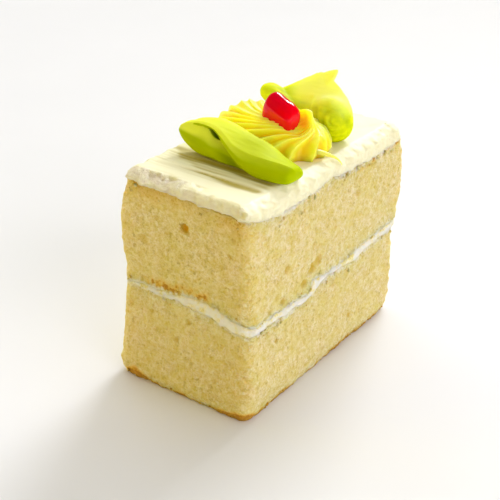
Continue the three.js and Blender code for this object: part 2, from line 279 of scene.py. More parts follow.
class Finish:
    """A material, and the steps that build its patterns up on Object coordinates. A step takes sockets, or
    plain numbers and colours, and gives a socket."""

    def __init__(self, name):
        self.material = bpy.data.materials.new(name)
        self.material.use_nodes = True
        self.place = self.step("TexCoord", "Object")

    def connect(self, node, inputs):
        """Links each input that is given a socket, and sets the others to their values."""
        for name, value in inputs.items():
            if isinstance(value, bpy.types.NodeSocket):
                self.material.node_tree.links.new(value, node.inputs[name])
            else:
                node.inputs[name].default_value = value

    def step(self, kind, output, inputs=(), **settings):
        """An output of a new node of that kind."""
        node = self.material.node_tree.nodes.new("ShaderNode" + kind)
        for name, value in settings.items():
            setattr(node, name, value)
        self.connect(node, dict(inputs))
        return node.outputs[output]

    def grain(self, size, detail, roughness, place=None):
        """Soft random grain of about that size in millimetres, from 0 to 1."""
        place = self.place if place is None else place
        inputs = {"Vector": place, "Scale": 1 / (size * MM), "Detail": detail, "Roughness": roughness}
        return self.step("TexNoise", "Fac", inputs)

    def mark(self, name):
        """The number that the mesh keeps at its points under that name."""
        return self.step("Attribute", "Fac", attribute_name=name)

    def share(self, value, low, high):
        """A value rescaled so that low becomes 0 and high becomes 1, held between them."""
        return self.step("MapRange", "Result", {"Value": value, "From Min": low, "From Max": high})

    def blend(self, share, below, above):
        """Two colours mixed by a share."""
        return self.step("Mix", 2, {0: share, 6: below, 7: above}, data_type="RGBA")

    def sum_up(self, first, second, way):
        """Two numbers added, taken the second from the first, or multiplied."""
        return self.step("Math", 0, {0: first, 1: second}, operation=way)

    plus = partialmethod(sum_up, way="ADD")
    minus = partialmethod(sum_up, way="SUBTRACT")
    times = partialmethod(sum_up, way="MULTIPLY")

    def bump(self, height, distance, strength, under=None):
        """A surface raised by a height from 0 to 1 over that distance in millimetres, on another if given."""
        inputs = {"Height": height, "Distance": distance * MM, "Strength": strength}
        if under is not None:
            inputs["Normal"] = under
        return self.step("Bump", "Normal", inputs)

    def shaded(self, inputs):
        """The material, once its shader has these inputs."""
        self.connect(self.material.node_tree.nodes["Principled BSDF"], inputs)
        return self.material

    def soft(self, base, normal, roughness, specular, soak):
        """The material as crumb or cream: its colour and surface, and how light soaks into it, given as a
        share, the spread of red, green and blue, and the scale of that spread in millimetres."""
        share, spread, scale = soak
        return self.shaded({
            "Base Color": base,
            "Normal": normal,
            "Roughness": roughness,
            "Specular IOR Level": specular,
            "Subsurface Weight": share,
            "Subsurface Radius": spread,
            "Subsurface Scale": scale * MM,
        })


CRUMB_PALE = colour(250, 236, 194)
CRUMB_DEEP = colour(227, 206, 100)
CRUMB_GOLD = colour(216, 187, 74)
# Painted shade: in the fine pores, the bubbles and the deepest holes
PORE_PAINTED_SHADE = colour(184, 153, 46)
BUBBLE_PAINTED_SHADE = colour(216, 184, 74)
HOLE_PAINTED_SHADE = colour(230, 184, 44)
GOLDEN_CRUST = colour(234, 188, 78)
BROWN_CRUST = colour(194, 134, 42)
CRUMB_CREAM = colour(253, 240, 204)


def sponge_finish():
    """Butter crumb: pale on the raised grain and golden between, which is partly random tone and partly
    painted shade in the dips, and deeper in soft patches. Painted shade also makes fine dark pores, darkens
    the bubbles and turns the deepest holes amber. It is golden to brown by the mark called browned, and white
    by the one called smeared, where cream was dragged on."""
    finish = Finish("butter_sponge")
    patch = finish.share(finish.grain(6, 3, 0.6), 0.4, 0.62)
    mottle = finish.share(finish.grain(1.8, 4, 0.72), 0.36, 0.64)
    fine = finish.share(finish.grain(0.6, 2, 0.6), 0.3, 0.7)
    pores = finish.share(finish.grain(1.5, 3, 0.65), 0.56, 0.74)
    height = finish.times(finish.plus(mottle, fine), 0.5)
    crumb = finish.blend(height, CRUMB_GOLD, CRUMB_PALE)
    crumb = finish.blend(finish.times(patch, 0.35), crumb, CRUMB_DEEP)
    crumb = finish.blend(finish.times(pores, 0.65), crumb, PORE_PAINTED_SHADE)
    # Painted shade in the bubbles and holes, by how deep they are
    bubble = finish.mark("bubble")
    crumb = finish.blend(bubble, crumb, BUBBLE_PAINTED_SHADE)
    crumb = finish.blend(finish.share(bubble, 1.1, 1.5), crumb, HOLE_PAINTED_SHADE)
    browned = finish.mark("browned")
    crumb = finish.blend(finish.share(browned, 0, 0.5), crumb, GOLDEN_CRUST)
    crust = finish.minus(browned, finish.times(height, 0.7))
    crumb = finish.blend(finish.share(crust, 0, 0.4), crumb, BROWN_CRUST)
    smear = finish.plus(finish.mark("smeared"), finish.times(height, 0.6))
    relief = finish.minus(height, finish.times(pores, 0.5))
    return finish.soft(
        finish.blend(finish.share(smear, 0.6, 1.3), crumb, CRUMB_CREAM),
        finish.bump(relief, 0.7, 0.9),
        roughness=0.85,
        specular=0.2,
        soak=(0.7, (1.0, 0.75, 0.3), 6),
    )


SPONGE = sponge_finish()
# Heights of the filling's lower and upper edge along the near end, by X, and along the long face, by Y
FRONT_FILLING = [(-22.5, 29.8, 30.6), (-13.5, 30.3, 31.4), (-7.4, 30.8, 32.0), (0.5, 29.9, 32.6),
                 (8.2, 29.7, 33.5), (15.5, 28.0, 31.6), (22.5, 27.8, 30.3)]
LONG_FILLING = [(-38, 27.7, 30.2), (-26.8, 27.4, 29.4), (-15.7, 26.9, 28.7), (-11, 26.8, 28.4),
                (-8.4, 27.4, 31.8), (-5.6, 28.9, 31.3), (-1, 29.8, 30.6), (3.2, 29.6, 30.8),
                (8.4, 28.9, 30.8), (12.3, 28.2, 31.0), (21.5, 29.4, 31.9), (28.4, 29.8, 32.2),
                (38, 30.2, 32.3)]
HIDDEN_FILLING = (29.7, 31.4)
FACE_REACH = 5.0
HIDDEN_WEIGHT = 0.05
# Levels at which the lumps of each edge are read, so that no two edges run alike
FILLING_LEVELS = (0, 50)


def border_height(x, y, fronts, longs, hidden):
    """Height of a layer's border: its lines along the near end and the long face, each weighted by a bell
    over the distance from its face, and one height with a small weight, which is left where both are far."""
    front = bell(y + SLICE_HALF[1], FACE_REACH)
    along = bell(x - SLICE_HALF[0], FACE_REACH)
    height = front * eased(fronts, x) + along * eased(longs, y) + HIDDEN_WEIGHT * hidden
    return height / (front + along + HIDDEN_WEIGHT)


def on_level(x, y, z):
    """Places across the slice, all at one height."""
    return np.stack([x, y, np.full_like(x, z)], axis=-1)


def filling_edge(which, x, y, tuck=0):
    """Height of the filling's lower (0) or upper (1) edge: its border's height, lumps and a tuck."""
    fronts, longs = (np.array(lines)[:, [0, 1 + which]] for lines in (FRONT_FILLING, LONG_FILLING))
    height = border_height(x, y, fronts, longs, HIDDEN_FILLING[which])
    return height + layered(on_level(x, y, FILLING_LEVELS[which]), (0.35, 2.4, 11), (0.3, 1, 12)) + tuck


# Holes that stand out in a face, as place, radius and depth
LOWER_HOLES = [
    ((22.5, -26, 21), 0.9, 0.7),
    ((22.5, 12, 10), 1.0, 0.7),
    ((-3, -39, 18), 0.9, 0.6),
    ((-12, -39, 24), 0.8, 0.7),
]
# Bubbles as share of their depth, spacing, largest radius and seed. They are taller than wide.
CRUMB_BUBBLES = [(0.6, 1.3, 0.5, 0), (0.35, 4, 1.1, 5)]
BUBBLE_SQUEEZE = (1, 1, 0.8)
# Lumps as height, size and seed
CRUMB_LUMPS = [(0.3, 9, 10), (0.22, 4, 13), (0.2, 2.2, 11), (0.16, 1.1, 12)]
# Depth at which a bubble's painted shade is full
FULL_PAINTED_SHADE_DEPTH = 0.8


def holes_at(points, holes):
    """Depth of the holes listed: each is a rounded pit, its depth times the square root of 1 - (d/r)^2, where
    lumps stretch and shrink the distance d."""
    depth = np.zeros(points.shape[:-1])
    uneven = 1 + 0.1 * lumps(points, 1.4, 36)
    for place, radius, deep in holes:
        away = uneven * np.linalg.norm(points - place, axis=-1) / radius
        depth = np.maximum(depth, deep * np.sqrt(np.maximum(0, 1 - away**2)))
    return depth


def crumb_relief(wall, holes, seed):
    """How far a cut face of crumb stands out, and the painted shade of its bubbles and holes by their depth:
    open bubbles of two sizes and the holes listed go in, and soft lumps of four sizes go in and out. Its
    edges are rounded over."""
    depth = 0
    for share, spacing, largest, own in CRUMB_BUBBLES:
        depth = depth + share * bubbles(wall * BUBBLE_SQUEEZE, spacing, largest, seed + own)
    depth = np.maximum(depth, holes_at(wall, holes))
    out = layered(wall, *((height, size, seed + own) for height, size, own in CRUMB_LUMPS)) - depth
    over = 1 - np.clip(from_edges(wall) / EDGE_RADIUS, 0, 1)
    return out - EDGE_RADIUS * (1 - np.sqrt(1 - over**2)), depth / FULL_PAINTED_SHADE_DEPTH


LOWER_SMEAR = 1.4
FOOT_CRUST = 0.7
# Where the crust climbs at the near end, as X, rise and reach
FOOT_CRUST_CLIMBS = [(-17.5, 3.0, 5.0), (19.5, 2.0, 4.5)]
FOOT_CRUST_FADE = 1.8


def smears(wall, away, reach, seed):
    """Cream dragged over the crumb next to a layer of it: a bell over the distance away, in patches."""
    return bell(away, reach) * patchy(wall, 0.75, (0.8, 2.6, seed), (0.5, 1, seed + 1))


def table_level(x, y):
    """The flat height of what the slice stands on."""
    return 0 * x


def on_near_end(y):
    """1 on the near end and 0 from a few millimetres behind it."""
    return smooth_step(-y, SLICE_HALF[1] - 4, SLICE_HALF[1])


def foot_browning(wall):
    """Crust along the foot: it deepens evenly downwards past a height that wanders round the slice, and is
    tallest at the two corners of the near end."""
    height = FOOT_CRUST + layered(wall, (0.8, 7, 31), (0.6, 2, 32))
    for x, rise, reach in FOOT_CRUST_CLIMBS:
        height = height + rise * bell(wall[..., 0] - x, reach) * on_near_end(wall[..., 1])
    return np.clip((height - wall[..., 2]) / FOOT_CRUST_FADE + 0.3, 0, 0.75)


lower_top = partial(filling_edge, 0)
lower_wall = plain_wall(LOWER_SIDES, 0 * RIM[:, 0], lower_top(*RIM.T), LOWER_ROWS)
lower_out, lower_bubble = crumb_relief(lower_wall, LOWER_HOLES, seed=40)
under_filling = smears(lower_wall, below_top(lower_wall), LOWER_SMEAR, seed=50)
lower_mesh = closed_mesh(
    "sponge_lower_crumb",
    capped(pushed_out(lower_wall, lower_out), table_level, lower_top),
    bubble=in_caps(lower_bubble, 0.3, 0.3),
    browned=in_caps(foot_browning(lower_wall), 0.8, 0),
    smeared=in_caps(under_filling, 0, 1),
)
place_piece(lower_mesh, SPONGE, "sponge", "sponge_lower")

# Filling: a thin layer of whipped cream between the two sponges, pressed out unevenly along the cut faces
# and mixed with crumbs where the knife dragged through it.
FILLING_ROWS = 26
FILLING_TUCK = 0.6
FILLING_SIDES = {
    "left": [(29, 0.6), (32, 0.6)],
    "right": [(29, 0.1), (32, 0.1)],
    "front": [(28, 0.6), (30, 0.45), (32, 0.1)],
    "back": [(29, 0.4), (32, 1.8)],
}
FILLING_BULGE = 0.1
# How the filling draws in towards its edges, as depth and reach
FILLING_DRAWN_IN = [(0.6, 1.5), (0.5, 0.4)]
CRUMBY_BORDER = 0.8
CREAM = colour(238, 230, 212)


def filling_finish():
    """Whipped cream: off-white and matte, with crumbs dragged into it by the mark called crumby."""
    finish = Finish("cream_filling")
    fine = finish.grain(0.9, 4, 0.7)
    crumbs = finish.plus(finish.mark("crumby"), finish.times(fine, 1.2))
    crumb = finish.blend(finish.share(finish.grain(0.6, 3, 0.7), 0.35, 0.65), CRUMB_DEEP, CRUMB_PALE)
    return finish.soft(
        finish.blend(finish.share(crumbs, 0.75, 1.25), CREAM, crumb),
        finish.bump(fine, 0.5, 0.8),
        roughness=0.7,
        specular=0.2,
        soak=(0.5, (1.0, 0.8, 0.5), 3),
    )


# The filling lies tucked into both sponges
filling_under = partial(filling_edge, 0, tuck=-FILLING_TUCK)
filling_over = partial(filling_edge, 1, tuck=FILLING_TUCK)
filling_wall = plain_wall(FILLING_SIDES, filling_under(*RIM.T), filling_over(*RIM.T), FILLING_ROWS)
inside = from_edges(filling_wall)
filling_out = FILLING_BULGE + layered(filling_wall, (0.2, 1.8, 21), (0.15, 0.8, 22))
for depth, reach in FILLING_DRAWN_IN:
    filling_out = filling_out - depth * (1 - smooth_step(inside, 0, reach))
border = 1 - smooth_step(inside, FILLING_TUCK, FILLING_TUCK + CRUMBY_BORDER)
crumby = patchy(filling_wall, 0.12 + 0.4 * border, (0.5, 3, 23), (0.4, 1.2, 28))
filling_mesh = closed_mesh(
    "filling_cream",
    capped(pushed_out(filling_wall, filling_out), filling_under, filling_over),
    crumby=in_caps(crumby, 0, 0),
)
place_piece(filling_mesh, filling_finish(), "filling", "filling")

# Upper sponge: the second layer of the same cake, laid on the cream. Its crumb is browner just above the
# filling on the near end and where its top crust meets the icing.
UPPER_ROWS = 100
UPPER_SIDES = {
    "left": [(31, 0.7), (45, 1.4), (55, 0.8), (62, -1.3)],
    "right": [(31, -0.1), (45, 0.2), (60, -0.1)],
    "front": [(31, 0), (46, 0.3), (63, -0.1)],
    "back": [(31, 2.8), (46, 4.2), (55, 4), (61, 1.4)],
}
UPPER_HOLES = [
    ((0.5, -38.2, 53.9), 1.5, 1.4),
    ((1.8, -38.2, 52.9), 0.7, 0.6),
    ((-14.2, -38.2, 46.8), 1.5, 0.45),
    ((-13.2, -38.2, 45.4), 1.1, 0.35),
    ((17.4, -38.2, 55.8), 0.8, 0.5),
    ((-9, -38.2, 54.3), 0.9, 0.45),
    ((16.1, -38.2, 50.8), 0.8, 0.4),
    ((22.6, -21.9, 41.7), 1.4, 0.8),
    ((22.6, -9, 36.2), 1.9, 0.9),
    ((22.6, -6.3, 37.3), 1.8, 0.7),
    ((22.6, -12.9, 33), 1.5, 0.8),
    ((22.6, -23, 32), 1.3, 0.7),
    ((22.6, -29.1, 31.7), 1.2, 0.6),
    ((22.6, 1.5, 45), 0.9, 0.5),
    ((22.6, 14, 51), 1.0, 0.5),
]
UPPER_FOOT_SMEAR = 1.2
UPPER_TOP_SMEAR = 1.6
# Height of the icing's lower edge along the near end, by X, and along the long face, by Y
FRONT_ICING = [(-22, 63.3), (-10.5, 62.9), (-6.9, 63.3), (0, 62.6), (10, 62.1), (22, 61.7)]
LONG_ICING = [(-38, 61.7), (-33, 60.5), (-26, 59.5), (-16, 59.6), (-8.3, 60.2), (-4.6, 60.8),
              (-2.4, 61.8), (0.2, 61), (3.2, 59.7), (20, 59.3), (38, 59.8)]
HIDDEN_ICING = 62.4
ICING_EDGE_LEVEL = 100
GOLDEN_REACH = 4
SPOT_REACH = 1.5
BAND_MIDDLE = 1.8
BAND_REACH = 1.5


def icing_edge(x, y, tuck=0):
    """Height of the icing's lower edge: its border's height, lumps and a tuck."""
    height = border_height(x, y, FRONT_ICING, LONG_ICING, HIDDEN_ICING)
    return height + layered(on_level(x, y, ICING_EDGE_LEVEL), (0.35, 2.6, 13), (0.2, 1, 14)) + tuck


def upper_browning(wall):
    """Golden patches under the icing at the near end, browned spots under it along the far part of the long
    face, and a browner band just above the filling at the left and middle of the near end."""
    x, y = wall[..., 0], wall[..., 1]
    golden = on_near_end(y) * bell(below_top(wall), GOLDEN_REACH) * patchy(wall, 0.8, (0.6, 5, 33))
    far_part = smooth_step(x, 18, 22) * smooth_step(y, 0, 14)
    spots = far_part * bell(below_top(wall), SPOT_REACH) * patchy(wall, 0.5, (1.1, 2.2, 34))
    band = on_near_end(y) * smooth_step(x, -17, -11) * smooth_step(-x, -11, -6)
    band = band * bell(above_foot(wall) - BAND_MIDDLE, BAND_REACH)
    band = band * patchy(wall, 0.75, (0.6, 3, 35), (0.7, 0.9, 37))
    return np.clip(0.38 * golden + spots + 0.75 * band, 0, 1)


upper_base = partial(filling_edge, 1)
upper_wall = plain_wall(UPPER_SIDES, upper_base(*RIM.T), icing_edge(*RIM.T), UPPER_ROWS)
over_filling = smears(upper_wall, above_foot(upper_wall), UPPER_FOOT_SMEAR, seed=52)
under_icing = smears(upper_wall, below_top(upper_wall), UPPER_TOP_SMEAR, seed=54)
under_icing = under_icing * smooth_step(upper_wall[..., 0], 16, 21)
upper_out, upper_bubble = crumb_relief(upper_wall, UPPER_HOLES, seed=60)
upper_mesh = closed_mesh(
    "sponge_upper_crumb",
    capped(pushed_out(upper_wall, upper_out), upper_base, icing_edge),
    bubble=in_caps(upper_bubble, 0.3, 0.3),
    browned=in_caps(upper_browning(upper_wall), 0, 0.5),
    smeared=in_caps(np.maximum(over_filling, under_icing), 1, 1),
)
place_piece(upper_mesh, SPONGE, "sponge", "sponge_upper")

# Icing: a thick coat of buttercream spread on top with a palette knife and smeared over the edge of the long
# face. The knife left streaks along the near end, and the near edge tore at its left.
ICING_TOP = 66.0
ICING_TUCK = 0.6
ICING_ROWS = 30
ICING_ROUND = 1.2
# Distances of the rings from the near edge, as (number of the ring, distance)
ICING_RINGS = [(0, 0), (18, 4.5), (62, 24), (74, 37.2)]
# Heights across the torn edge, as (distance from the near edge, drop)
TORN_LEDGE = [(0, 0.2), (0.6, 0), (1.6, 0.9), (2.7, 0.6), (3.8, 0.05), (4.6, -0.1), (6, 0)]
ICING_SIDES = {
    "left": [(60, -1.5), (63.5, -1.9), (66, -3.2)],
    "right": [(58, 0), (61, 0.45), (63.6, 0.4), (66, -1.8)],
    "front": [(60, 0.1), (64.5, 0.5), (66, -0.6)],
    "back": [(59, 1.3), (63.5, -0.6), (66, -2.6)],
}
ICING_TOP_LEVEL = 200
STREAK_SQUEEZE = (0.05, 1, 1)
TORN_SQUEEZE = (0.6, 1, 1)
DENT_PLACE = (20.4, -38.4, 64.2)
# The dent's raised ring, as (height, radius, half width), and its hollow, as (depth, radius)
DENT_RING = (0.8, 1.2, 0.5)
DENT_HOLLOW = (0.5, 0.6)
# Edge of the front leaf's shadow on the icing, up to which shade is painted in front of the leaf, as (X, Y)
LEAF_SHADOW_EDGE = [(-18, -20), (-11.7, -24.5), (0, -29.1), (9.5, -30.6), (16.4, -30.2), (22, -25)]
BUTTERCREAM = colour(239, 232, 192)
# Painted shade: the icing in the front leaf's shadow and in the knife streaks' grooves
PAINTED_SHADE_CREAM = colour(184, 166, 74)
# Colour of dragged crumbs, also used as painted shade on the near wall
CRUMB_AND_WALL_SHADE = colour(220, 204, 182)


def icing_finish():
    """Spread buttercream: ivory and satin, with painted shade by the mark called streak, which is the front
    leaf's shadow and shade in the knife streaks' grooves, and rough with dragged crumbs by the one called
    torn, which on the near wall is partly painted shade."""
    finish = Finish("spread_icing")
    # Dragged crumbs, and on the near wall partly painted shade
    torn = finish.mark("torn")
    crumbs = finish.share(finish.times(torn, finish.grain(2.2, 4, 0.65)), 0.25, 0.7)
    # Painted shade of the front leaf's shadow and of the knife grooves, by the mark called streak
    cream = finish.blend(finish.mark("streak"), BUTTERCREAM, PAINTED_SHADE_CREAM)
    smooth = finish.bump(finish.grain(1, 3, 0.65), 0.1, 0.5)
    rough = finish.times(torn, finish.grain(0.6, 3, 0.7))
    return finish.soft(
        finish.blend(crumbs, cream, CRUMB_AND_WALL_SHADE),
        finish.bump(rough, 0.8, 0.8, smooth),
        roughness=0.5,
        specular=0.25,
        soak=(0.3, (1.0, 0.9, 0.65), 2.5),
    )


# The icing lies tucked into the upper sponge
icing_under = partial(icing_edge, tuck=-ICING_TUCK)


def crumbs_and_wall_shade(x, y, z):
    """1 on the torn strip along the left of the near edge, less along the near wall and round the lower
    border of the others, and 0 away from them. It brings dragged crumbs; on the near wall, which faces away
    from the window, it is partly dragged crumbs and partly painted shade."""
    strip = smooth_step(-x, -6, 4) * smooth_step(-y, 33.2, 35.2) * smooth_step(z, 63.2, 64.4)
    # On the near wall: dragged crumbs and partly painted shade
    wall = 0.65 + 0.3 * smooth_step(-x, -8, 4)
    wall = wall * smooth_step(-y, 36.6, 37.6) * smooth_step(-z, -66.2, -65.2)
    border = 0.8 * smooth_step(icing_edge(x, y) - z, -1.6, -0.2)
    return np.maximum(strip, np.maximum(wall, border))


def before_leaf(x, y):
    """1 from the front leaf to the near end, and 0 behind it and along the slice's sides."""
    return smooth_step(-y, 16, 20) * smooth_step(-np.abs(x), -20, -17)


def knife_streaks(x, y):
    """Height of the streaks that the palette knife left from the front leaf almost to the near edge: lumps of
    two sizes drawn out across the slice."""
    streaked = before_leaf(x, y) * smooth_step(y, -32, -27)
    place = on_level(x, y, ICING_TOP_LEVEL) * STREAK_SQUEEZE
    return streaked * layered(place, (0.3, 1.5, 17), (0.18, 0.7, 18))


def painted_leaf_and_groove_shade(x, y):
    """Painted shade on the icing: the front leaf's shadow, full between the leaf and the edge of its shadow
    in front of it, and more shade in the knife streaks' grooves."""
    line = eased(LEAF_SHADOW_EDGE, np.clip(x, LEAF_SHADOW_EDGE[0][0], LEAF_SHADOW_EDGE[-1][0]))
    leaf_shadow = before_leaf(x, y) * smooth_step(y - line, -0.5, 2)
    return np.clip(0.72 * leaf_shadow - 3 * knife_streaks(x, y), 0, 1)


def icing_top(x, y):
    """Height of the icing's top: level, with slow swells and the knife's streaks. Along the left of the near
    edge it tore away in a rough ledge behind a narrow lip."""
    place = on_level(x, y, ICING_TOP_LEVEL)
    swell = layered(place, (0.22, 14, 15), (0.08, 5, 16))
    inward = y + SLICE_HALF[1] + 0.5 * lumps(place, 3.5, 19)
    torn = smooth_step(-x, -3, 6) * eased(TORN_LEDGE, np.clip(inward, 0, TORN_LEDGE[-1][0]))
    rough = 0.5 * lumps(place * TORN_SQUEEZE, 1.8, 20) + 0.35 * lumps(place, 0.9, 27)
    rough = rough * smooth_step(-x, -10, 2) * smooth_step(-inward, -4, -3)
    return ICING_TOP - 0.1 + swell + knife_streaks(x, y) - torn + rough


def icing_grid():
    """The icing's rows: over its underside, up the lumpy wall from its tucked lower edge to its rounded upper
    one, with a small dent in a raised ring at the near corner, and then over the top in rings."""
    wall = plain_wall(ICING_SIDES, icing_under(*RIM.T), 0 * RIM[:, 0] + ICING_TOP, ICING_ROWS)
    out = layered(wall, (0.45, 3.2, 24), (0.4, 1.6, 25), (0.2, 0.7, 26))
    out = out - 1.2 * (1 - smooth_step(above_foot(wall), 0, ICING_TUCK + 0.3))
    over = np.clip((wall[..., 2] - ICING_TOP + ICING_ROUND) / ICING_ROUND, 0, 1)
    out = out - ICING_ROUND * (1 - np.sqrt(1 - 0.98 * over**2))
    dent = np.linalg.norm(wall - DENT_PLACE, axis=-1)
    height, radius, width = DENT_RING
    out = out + height * bell(dent - radius, width) - DENT_HOLLOW[0] * bell(dent, DENT_HOLLOW[1])
    wall = pushed_out(wall, out)
    ring, inward = np.transpose(ICING_RINGS)
    shares = 1 - np.interp(np.arange(1, ring[-1] + 1), ring, inward) / SLICE_HALF[1]
    top = wall[-1][None, :, :2] * shares[:, None, None]
    top = lifted(top, icing_top(top[..., 0], top[..., 1]))
    rim_drop = icing_top(wall[-1, :, 0], wall[-1, :, 1]) - ICING_TOP
    wall[..., 2] += rim_drop * smooth_step(wall[..., 2], 62, ICING_TOP)
    under = wall[0][None, :, :2] * CAP_SHARES[:, None, None]
    under = lifted(under, icing_under(under[..., 0], under[..., 1]))
    return np.concatenate([under, wall, top])


icing_points = icing_grid()
icing_places = np.moveaxis(icing_points, -1, 0)
icing_mesh = closed_mesh(
    "icing_coat",
    icing_points,
    torn=crumbs_and_wall_shade(*icing_places),
    # Painted shade of the front leaf's shadow and of the knife grooves
    streak=painted_leaf_and_groove_shade(*icing_places[:2]),
)
place_piece(icing_mesh, icing_finish(), "icing", "icing")

# Crumbs: loose bits that the knife dragged out of both sponges, stuck to the cut faces along the icing, along
# the filling and at the foot.
CRUMB_COUNT = 160
CRUMB_RINGS = 8
CRUMB_AROUND = 12
CRUMB_RADIUS = 0.22
CRUMB_RADIUS_SPREAD = 0.4


def full_turn(count):
    """Angles evenly spaced round a whole turn."""
    return np.arange(count) / count * 2 * np.pi


def crumb_balls():
    """Small uneven balls, half sunk in the cut faces: each at a random place round the slice, in a random one
    of the rows of points next to a border, with a random radius. Their brown share is higher at the foot."""
    draw = np.random.default_rng(7)
    upper, lower = pushed_out(upper_wall, upper_out), pushed_out(lower_wall, lower_out)
    foot = lower[1:6]
    bands = np.concatenate([upper[-12:-2], upper[1:8], lower[-8:-1], foot])
    row = draw.integers(0, len(bands), CRUMB_COUNT)
    middle = bands[row, draw.integers(0, AROUND, CRUMB_COUNT)]
    radius = CRUMB_RADIUS + CRUMB_RADIUS_SPREAD * draw.random(CRUMB_COUNT) ** 2
    climb = np.linspace(-0.42, 0.42, CRUMB_RINGS)[:, None] * np.pi
    turn = full_turn(CRUMB_AROUND)
    level = np.stack([np.cos(climb) * np.cos(turn), np.cos(climb) * np.sin(turn)], axis=-1)
    ball = lifted(level, np.sin(climb) + 0 * turn)
    balls = np.broadcast_to(ball, (CRUMB_COUNT,) + ball.shape)
    apart = 10 * np.arange(CRUMB_COUNT)[:, None, None, None]
    uneven = 1 + 0.35 * lumps(balls + apart, 0.9, 29)
    points = middle[:, None, None] + balls * (radius[:, None, None] * uneven)[..., None]
    points[..., 2] = np.maximum(0, points[..., 2])
    brown = 0.5 * draw.random(CRUMB_COUNT) ** 2 + 0.5 * (row >= len(bands) - len(foot))
    return points, np.broadcast_to(brown[:, None, None], points.shape[:3])


crumb_points, crumb_brown = crumb_balls()
plain = np.zeros(crumb_brown.shape)
crumb_mesh = closed_mesh("loose_crumbs", crumb_points, bubble=plain, browned=crumb_brown, smeared=plain)
place_piece(crumb_mesh, SPONGE, "sponge")

# Flower: yellow buttercream pressed through a star nozzle in one swirl. Its ridges wind out from the peak on
# the right, where the nozzle was pulled away, and a thin tail hangs over the icing's edge.
SEAT = ICING_TOP - 0.2
FLOWER_CENTRE = np.array([1.5, 0.0])
FLOWER_HALF = np.array([18.0, 13.0])
FLOWER_HEIGHT = 9.0
FLOWER_ROUNDNESS = 3.0
FLOWER_CORE = np.array([*FLOWER_CENTRE, -3.0])
FLOWER_TUCK = 0.05
FLOWER_TUCK_HEIGHT = 2.2
SHOULDER_PLACE = np.array([-11.0, 4.0])
SHOULDER_HALF = np.array([7.0, 7.0])
SHOULDER_HEIGHT = 2.4
PEAK_PLACE = np.array([13.7, 1.7])
PEAK_WAY = np.array([0.8, 0.6])
PEAK_HEIGHT = 6.0
# Reach of the peak behind the jelly, on the other side and to both sides of that line
PEAK_REACH = (6.0, 0.8, 1.0)
HOLLOW_PLACE = np.array([11.8, -3.0])
HOLLOW_HALF = np.array([3.0, 3.2])
HOLLOW_DEPTH = 1.8
# Cleft beside the jelly, painted in deep shade
SHADED_CLEFT_PLACE = np.array([12.0, -0.2])
SHADED_CLEFT_HALF = np.array([2.2, 1.6])
# Bearings of the ridges at the rim, counted from the peak in degrees
RIDGE_BEARINGS = [-126, -110, -90, -53, -15, 25, 58, 85, 105, 121, 134,
                  145, 153, 162, 168, 177, 185, 193, 201, 215, 234]
RIDGE_POINTS = 32
RIDGE_TWIST = np.radians(60)
RIDGE_DEPTH_TO_PITCH = 0.28
RIDGE_DEPTH_MAX = 1.3
DEEP_BEARING = np.radians(-115)
DEEP_SPREAD = np.radians(50)
FLOWER_ROWS = 90
LEMON = colour(255, 253, 102)
# Painted shade: golden in the grooves, amber where it is deepest
GROOVE_SHADE_GOLD = colour(255, 234, 44)
DEEP_SHADE_AMBER = colour(252, 172, 10)


def close_at_ends(start, end, rows):
    """Shares along a way, closest together at its ends: half of 1 - the cosine over half a turn."""
    return (1 - np.cos(np.linspace(start, end, rows) * np.pi)) / 2


def mound(flat, place, half):
    """An oval bell on the flat: e to the power of minus the squares of the distances over its half sizes."""
    return np.exp(-((((flat - place) / half) ** 2).sum(-1)))


